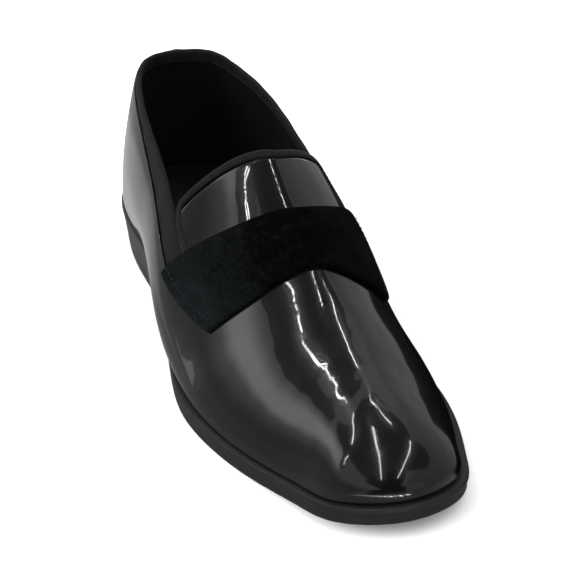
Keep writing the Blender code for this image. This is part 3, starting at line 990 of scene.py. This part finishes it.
def strap_stitches():
    rows = []
    for start in (True, False):
        share = np.linspace(0.03, 0.97, STRAP_STITCH_POINTS)
        ends = strap_girth(share, 0.0 if start else 1.0)
        girth = ends + (STRAP_STITCH_IN if start else -STRAP_STITCH_IN)
        points = strap_point(girth, share, np.full(STRAP_STITCH_POINTS, 1.02))
        tilt = points - strap_point(girth, share, np.zeros(STRAP_STITCH_POINTS))
        tilt /= np.linalg.norm(tilt, axis=1, keepdims=True)
        rows.append(stitch_row(points, tilt, length=0.0022, gap=0.0010, radius=0.00016))
    return join(rows)


HEEL_TAB_REACH_U = 0.0052 / 0.62


def heel_tab():
    """The short overlap at the back of the heel, where the band's two ends join."""
    rings = []
    for shift in np.linspace(-1, 1, 25):
        swell = 0.00012 + 0.00035 * (1 - abs(shift) ** 6)
        rings.append(band_ring(abs(shift) * HEEL_TAB_REACH_U, 1 if shift >= 0 else -1, swell))
    return tube(rings)


def settle(node, values):
    for name, value in values.items():
        node.inputs[name].default_value = value


def noise(nodes, links, scale, detail, rough=0.5, distortion=0.0):
    where = nodes.new("ShaderNodeTexCoord")
    made = nodes.new("ShaderNodeTexNoise")
    settle(made, {"Scale": scale, "Detail": detail, "Roughness": rough, "Distortion": distortion})
    links.new(where.outputs["Object"], made.inputs["Vector"])
    return made.outputs["Fac"]


def place_axes(nodes, links):
    """The place on the object, one output for each axis."""
    where = nodes.new("ShaderNodeTexCoord")
    split = nodes.new("ShaderNodeSeparateXYZ")
    links.new(where.outputs["Object"], split.inputs["Vector"])
    return split.outputs


def math_node(nodes, links, kind, first, second=None):
    made = nodes.new("ShaderNodeMath")
    made.operation = kind
    for slot_at, value in enumerate((first, second)):
        if value is None:
            continue
        if isinstance(value, (int, float)):
            made.inputs[slot_at].default_value = value
        else:
            links.new(value, made.inputs[slot_at])
    return made.outputs[0]


def ramp(nodes, links, source, low, high, start=0.3, stop=0.7):
    made = nodes.new("ShaderNodeMapRange")
    settle(made, {"From Min": start, "From Max": stop, "To Min": low, "To Max": high})
    links.new(source, made.inputs["Value"])
    return made.outputs["Result"]


def tint(nodes, links, source, dark, light, start=0.3, stop=0.7):
    made = nodes.new("ShaderNodeValToRGB")
    for element, position, colour in zip(made.color_ramp.elements, (start, stop), (dark, light)):
        element.position = position
        element.color = colour + (1.0,)
    links.new(source, made.inputs["Fac"])
    return made.outputs["Color"]


def relief_of(nodes, links, layers):
    """Bumps laid one over another: (height source, distance in metres)."""
    last_normal = None
    for source, distance in layers:
        made = nodes.new("ShaderNodeBump")
        settle(made, {"Strength": 1.0, "Distance": distance})
        links.new(source, made.inputs["Height"])
        if last_normal:
            links.new(last_normal, made.inputs["Normal"])
        last_normal = made.outputs["Normal"]
    return last_normal


def patent_look(nodes, links, shader):
    broad = noise(nodes, links, 22, 3)
    grain = noise(nodes, links, 420, 2)
    smear = noise(nodes, links, 60, 5, 0.6)
    colour = tint(nodes, links, broad, (0.0012, 0.0012, 0.0016), (0.0022, 0.0022, 0.0028))
    links.new(colour, shader.inputs["Base Color"])
    links.new(ramp(nodes, links, smear, 0.16, 0.24), shader.inputs["Roughness"])
    settle(shader, {"Specular IOR Level": 0.25, "Coat Weight": 1.0,
                    "Coat Roughness": 0.018, "Coat IOR": 1.46})
    normal = relief_of(nodes, links, ((broad, 0.000016), (grain, 0.0000016)))
    links.new(normal, shader.inputs["Coat Normal"])
    links.new(normal, shader.inputs["Normal"])


def velvet_look(nodes, links, shader):
    """Velvet whose colour is painted lighter towards the strap's outer (lateral) end: painted light from that
    side.
    """
    pile = noise(nodes, links, 2400, 3, 0.7)
    brushed = noise(nodes, links, 60, 5, 0.65, 0.8)
    # Painted light: a colour ramp over Y makes the strap lighter at its lateral end, where the light falls.
    painted_lateral_light = ramp(nodes, links, place_axes(nodes, links)["Y"], 0.90, 0.05, -0.046, -0.012)
    patchy = ramp(nodes, links, brushed, -0.26, 0.26)
    tufts = noise(nodes, links, 420, 4, 0.7, 0.5)
    tufty = ramp(nodes, links, tufts, -0.24, 0.24)
    speck = math_node(nodes, links, "ADD", ramp(nodes, links, pile, -0.12, 0.12), tufty)
    share = math_node(nodes, links, "ADD", math_node(nodes, links, "ADD", painted_lateral_light, patchy), speck)
    colour = tint(nodes, links, share, (0.0004, 0.0005, 0.0005), (0.0048, 0.0061, 0.0066), 0.0, 1.0)
    links.new(colour, shader.inputs["Base Color"])
    settle(shader, {"Roughness": 0.95, "Specular IOR Level": 0.03, "Sheen Weight": 0.006,
                    "Sheen Roughness": 0.42, "Sheen Tint": (0.42, 0.52, 0.50, 1.0)})
    normal = relief_of(nodes, links, ((brushed, 0.0004), (tufts, 0.0003), (pile, 0.0003)))
    links.new(normal, shader.inputs["Normal"])


# The dull materials: fine grain and broad patches as noise (scale, detail, roughness), the dark and the light
# colour, what drives the roughness and its range, specular level, sheen, and bump heights in metres.
DULL_LOOKS = {
    "ribbed": ((3200, 2, 0.6), (120, 4, 0.5), (0.0020, 0.0020, 0.0024), (0.0042, 0.0042, 0.0047),
               "patch", (0.62, 0.78), 0.22, 0.02, (("patch", 0.00012), ("grain", 0.00008))),
    "lining": ((1500, 4, 0.7), (70, 4, 0.6), (0.0009, 0.0010, 0.0012), (0.0020, 0.0021, 0.0023),
               None, 0.85, 0.2, 0.01, (("patch", 0.0003), ("grain", 0.00018))),
    "sock": ((900, 4, 0.6), (40, 3, 0.5), (0.0022, 0.0022, 0.0026), (0.0040, 0.0040, 0.0045),
             "grain", (0.55, 0.70), 0.3, 0.0, (("grain", 0.00012),)),
    "rubber": ((1300, 3, 0.6), (45, 5, 0.6), (0.0040, 0.0040, 0.0048), (0.0075, 0.0075, 0.0084),
               "patch", (0.42, 0.56), 0.42, 0.0, (("grain", 0.00006),)),
    "thread": ((4000, 1, 0.5), (4000, 1, 0.5), (0.003, 0.003, 0.0035), (0.007, 0.007, 0.0075),
               None, 0.5, 0.5, 0.0, (("grain", 0.00005),)),
}


def dull_look(nodes, links, shader, row):
    grain, patch, dark, light, driver, rough, specular, sheen, bumps = row
    sources = {"grain": noise(nodes, links, *grain), "patch": noise(nodes, links, *patch)}
    links.new(tint(nodes, links, sources["patch"], dark, light), shader.inputs["Base Color"])
    if driver:
        links.new(ramp(nodes, links, sources[driver], *rough), shader.inputs["Roughness"])
    else:
        shader.inputs["Roughness"].default_value = rough
    settle(shader, {"Specular IOR Level": specular, "Sheen Weight": sheen, "Sheen Roughness": 0.5})
    normal = relief_of(nodes, links, [(sources[name], distance) for name, distance in bumps])
    links.new(normal, shader.inputs["Normal"])


LOOKS = {"patent": material("patent", patent_look), "velvet": material("velvet", velvet_look)}
for look_name, look_row in DULL_LOOKS.items():
    LOOKS[look_name] = material(look_name, dull_look, look_row)

piece("patent_upper", *patent(), LOOKS["patent"], "patent_leather", "upper")
piece("lining", *lining(), LOOKS["lining"], "edge_fabric")
piece("edge_band", *band(), LOOKS["ribbed"], "edge_fabric", "collar_band")
piece("band_join", *heel_tab(), LOOKS["ribbed"], "edge_fabric")
piece("throat_edge", *binding(), LOOKS["ribbed"], "edge_fabric", "throat_binding")
piece("velvet_strap", *strap_band(), LOOKS["velvet"], "velvet", "strap")
heel_body, front_body = sole()
piece("unit_sole", *front_body, LOOKS["rubber"], "sole_rubber", "outsole")
piece("heel_block", *heel_body, LOOKS["rubber"], "sole_rubber")
piece("sock", *sock(), LOOKS["sock"], "sock_fabric", "insole")
piece("band_stitches", *band_stitches(), LOOKS["thread"], "edge_fabric")
piece("throat_stitches", *binding_stitches(), LOOKS["thread"], "edge_fabric")
piece("strap_stitches", *strap_stitches(), LOOKS["thread"], "edge_fabric")



def square(half, height):
    """Corners of a level square round the middle of the floor."""
    return [(-half, -half, height), (half, -half, height), (half, half, height), (-half, half, height)]


# The floor and the studio.
FLOOR_REACH = 6.0
floor_mesh = bpy.data.meshes.new("floor")
floor_mesh.from_pydata(square(FLOOR_REACH, 0), [], [(0, 1, 2, 3)])
floor = bpy.data.objects.new("floor", floor_mesh)
bpy.context.collection.objects.link(floor)


def floor_look(nodes, links, shader):
    settle(shader, {"Base Color": (0.93, 0.93, 0.93, 1.0), "Roughness": 0.9, "Specular IOR Level": 0.1})


floor_mesh.materials.append(material("floor", floor_look))

WORLD_LIGHT = 1.45
world = bpy.data.worlds.new("studio")
bpy.context.scene.world = world
world.use_nodes = True
world.node_tree.nodes["Background"].inputs["Color"].default_value = (1.0, 1.0, 1.0, 1.0)
world.node_tree.nodes["Background"].inputs["Strength"].default_value = WORLD_LIGHT
bpy.context.scene.view_settings.view_transform = "Standard"


def soft_patch(nodes, links, axes, low, high, soft):
    """1 inside a rectangle of the board and 0 outside, with a soft edge."""
    share = None
    for axis, a, b in zip(axes, low, high):
        off = math_node(nodes, links, "ABSOLUTE", math_node(nodes, links, "SUBTRACT", axis, (a + b) / 2))
        made = nodes.new("ShaderNodeMapRange")
        made.interpolation_type = "SMOOTHSTEP"
        settle(made, {"From Min": (b - a) / 2 + soft / 2, "From Max": (b - a) / 2 - soft / 2})
        links.new(off, made.inputs["Value"])
        inside = made.outputs["Result"]
        share = inside if share is None else math_node(nodes, links, "MULTIPLY", share, inside)
    return share


def glow(name, base, patches, first, second):
    """A board's light: a base strength, and patches of (low, high, soft edge, strength) over it."""
    made = bpy.data.materials.new(name)
    made.use_nodes = True
    nodes, links = made.node_tree.nodes, made.node_tree.links
    nodes.clear()
    place = place_axes(nodes, links)
    axes = place[first], place[second]
    strength = base
    for low, high, soft, level in patches:
        share = soft_patch(nodes, links, axes, low, high, soft)
        keep = math_node(nodes, links, "SUBTRACT", 1.0, share)
        kept = math_node(nodes, links, "MULTIPLY", keep, strength)
        strength = math_node(nodes, links, "ADD", kept, math_node(nodes, links, "MULTIPLY", share, level))
    light = nodes.new("ShaderNodeEmission")
    if isinstance(strength, (int, float)):
        light.inputs["Strength"].default_value = strength
    else:
        links.new(strength, light.inputs["Strength"])
    end = nodes.new("ShaderNodeOutputMaterial")
    links.new(light.outputs["Emission"], end.inputs["Surface"])
    return made


def board(name, points, faces, look):
    """Part of the studio tent: it shows in reflections alone."""
    mesh = bpy.data.meshes.new(name)
    mesh.from_pydata(points, [], faces)
    mesh.materials.append(look)
    made = bpy.data.objects.new(name, mesh)
    bpy.context.collection.objects.link(made)
    made.visible_camera = False
    made.visible_diffuse = False
    made.visible_transmission = False
    made.visible_volume_scatter = False
    made.visible_shadow = False


# The tent's ceiling: a dark middle between two rows of lamps, and a soft bright band on the lateral side.
CEILING = 0.60
SPAN = 2.5


def single_board(name, corners, look):
    board(name, corners, [tuple(range(len(corners)))], look)


single_board("tent_ceiling", square(SPAN, CEILING), glow("ceiling_light", 0.55, (
    ((-SPAN, -SPAN), (SPAN, -1.15), 0.5, 0.20),
    ((-SPAN, 0.60), (SPAN, SPAN), 0.3, 0.34),
    ((-1.3, -0.92), (-0.20, -0.62), 0.20, 1.8),
    ((0.68, -0.62), (SPAN, 0.36), 0.02, 0.0),
), 0, 1))
dark = glow("dark_light", 0.10, (), 0, 1)
seam = glow("seam_light", 0.0, (), 0, 1)
# The dark middle panel of the ceiling, with a black seam round it.
PANEL = (
    (-0.265, 0.50), (-0.262, 0.05), (-0.275, -0.20), (-0.32, -0.33), (-0.41, -0.40), (-0.43, -0.49),
    (-0.36, -0.525), (-0.26, -0.60), (-0.22, -0.80), (-0.06, -0.80), (-0.04, -0.53), (0.10, -0.50),
    (0.66, -0.52), (0.70, 1.05), (0.25, 1.00), (0.02, 0.80), (-0.02, 0.52),
)
PANEL_DROP = 0.004
SEAM_DROP = 0.002
SEAM_SIZE = 1.035
single_board("panel", [(x, y, CEILING - PANEL_DROP) for x, y in PANEL], dark)
middle_of_panel = np.mean(PANEL, axis=0)
seam_line = middle_of_panel + (np.array(PANEL) - middle_of_panel) * SEAM_SIZE
single_board("panel_seam", [(x, y, CEILING - SEAM_DROP) for x, y in seam_line], seam)

WALL = 2.0
FOOT = 0.0002


def upright(name, start, stop, look):
    """A wall of the tent between two places on the floor."""
    corners = [start + (0,), stop + (0,), stop + (CEILING,), start + (CEILING,)]
    single_board(name, corners, look)


single_board("tent_floor", square(WALL, FOOT), glow("floor_light", 0.30, (
    ((-1.0, 0.12), (1.0, WALL), 0.04, 0.23),
    ((-0.30, -0.16), (-0.09, -0.01), 0.05, 0.55),
    ((-0.16, 0.048), (0.13, 0.112), 0.010, 0.004),
), 0, 1))
upright("tent_lateral", (-WALL, -WALL), (WALL, -WALL), glow("lateral_light", 0.25, (), 0, 2))
upright("tent_medial", (-WALL, WALL), (WALL, WALL), glow("medial_light", 0.28, (), 0, 2))
upright("tent_back", (-WALL, -WALL), (-WALL, WALL), glow("back_light", 0.95, (), 1, 2))
upright("tent_front", (WALL, -WALL), (WALL, WALL), glow("front_wall_light", 0.45, (
    ((-1.30, -0.50), (0.60, 1.00), 0.10, 0.01),
), 1, 2))
# What stands beside the shoe on its inner side: dark in the patent.
BESIDE = ((-0.16, 0.08, 0), (0.05, 0.11, 0), (0.05, 0.11, 0.030), (-0.16, 0.08, 0.050))
single_board("beside", BESIDE, glow("beside_light", 0.01, (), 0, 2))

lamp = bpy.data.lights.new("lateral_lamp", "AREA")
lamp.shape = "RECTANGLE"
lamp.size = 1.2
lamp.size_y = 0.6
lamp.energy = 22.0
lateral_lamp = bpy.data.objects.new("lateral_lamp", lamp)
bpy.context.collection.objects.link(lateral_lamp)
lateral_lamp.location = (0.1, -1.2, 0.55)
lateral_lamp.rotation_euler = (math.radians(66), 0, 0)
lateral_lamp.visible_glossy = False
lateral_lamp.visible_camera = False

LAMP_HEIGHT = CEILING - 0.01
LAMP_SIZE = 0.0026
LAMP_STEP = 0.013
LAMP_PAIR = 0.012


def lamp_row(route):
    """Pairs of small square lamps along a line."""
    route = np.array(route, float)
    run = np.concatenate([[0], np.cumsum(np.linalg.norm(np.diff(route, axis=0), axis=1))])
    points = []
    faces = []
    for at in np.arange(0, run[-1], LAMP_STEP):
        place = point_at(at, run, route)
        on = point_at(at + 0.001, run, route)
        along = (on - place) / max(np.linalg.norm(on - place), 1e-9)
        across = np.array([-along[1], along[0], 0.0])
        for offset in (-LAMP_PAIR / 2, LAMP_PAIR / 2):
            total = len(points)
            for a, b in ((-1, -1), (1, -1), (1, 1), (-1, 1)):
                points.append(tuple(place + along * a * LAMP_SIZE + across * (offset + b * LAMP_SIZE)))
            faces.append((total, total + 1, total + 2, total + 3))
    return points, faces


lamps = glow("lamp_light", 90.0, (), 0, 1)
ROWS = (
    ("lamps_rear_lateral", (
        (-0.295, -0.19), (-0.285, -0.235), (-0.24, -0.25), (-0.20, -0.29), (-0.17, -0.36),
    )),
    ("lamps_tab_lateral", (
        (-0.11, -0.52), (-0.14, -0.61), (-0.13, -0.65), (-0.11, -0.67), (-0.10, -0.69), (-0.11, -0.72),
    )),
    ("lamps_rear_medial", (
        (-0.255, 0.18), (-0.21, 0.165), (-0.165, 0.20), (-0.13, 0.29),
    )),
    ("lamps_front_lateral", (
        (-0.11, 0.01), (-0.01, -0.03), (0.09, -0.06), (0.18, -0.08), (0.28, -0.13), (0.56, -0.20),
        (0.90, -0.28),
    )),
    ("lamps_front_medial", (
        (0.02, 0.49), (0.12, 0.44), (0.24, 0.37), (0.46, 0.30), (0.73, 0.22), (0.95, 0.15),
    )),
)
for name, route in ROWS:
    board(name, *lamp_row([(x, y, LAMP_HEIGHT) for x, y in route]), lamps)
FLOOR_ROW = ((0.33, -0.30, 0.004), (0.24, -0.06, 0.004), (0.20, 0.0, 0.004), (0.20, 0.03, 0.004))
board("lamps_floor", *lamp_row(FLOOR_ROW), glow("floor_lamp_light", 40.0, (), 0, 1))

# The camera.
CAMERA_PLACE = (0.69410, -0.24128, 0.41896)
CAMERA_YAW = 2.763
CAMERA_PITCH = -0.45504
CAMERA_ROLL = 0.030
CAMERA_TURN = (-0.0300, -0.03107)
# The focal length and the frame's width in pixels.
FOCAL = 1943.7
FRAME = 580
SENSOR = 36.0
ahead = np.array([
    math.cos(CAMERA_PITCH) * math.cos(CAMERA_YAW),
    math.cos(CAMERA_PITCH) * math.sin(CAMERA_YAW),
    math.sin(CAMERA_PITCH),
])
right = np.array([math.sin(CAMERA_YAW), -math.cos(CAMERA_YAW), 0.0])
up = np.cross(right, ahead)
turned_right = math.cos(CAMERA_ROLL) * right + math.sin(CAMERA_ROLL) * up
turned_up = -math.sin(CAMERA_ROLL) * right + math.cos(CAMERA_ROLL) * up
# Turned a little so that the shoe stands in the middle of the frame.
forward = ahead + CAMERA_TURN[0] * turned_right + CAMERA_TURN[1] * turned_up
forward /= np.linalg.norm(forward)
turned_right -= turned_right.dot(forward) * forward
turned_right /= np.linalg.norm(turned_right)
turned_up = np.cross(turned_right, forward)
lens = bpy.data.cameras.new("camera")
lens.sensor_width = SENSOR
lens.lens = FOCAL / FRAME * SENSOR
camera = bpy.data.objects.new("camera", lens)
bpy.context.collection.objects.link(camera)
camera.matrix_world = Matrix([
    (turned_right[0], turned_up[0], -forward[0], CAMERA_PLACE[0]),
    (turned_right[1], turned_up[1], -forward[1], CAMERA_PLACE[1]),
    (turned_right[2], turned_up[2], -forward[2], CAMERA_PLACE[2]),
    (0, 0, 0, 1),
])
bpy.context.scene.camera = camera
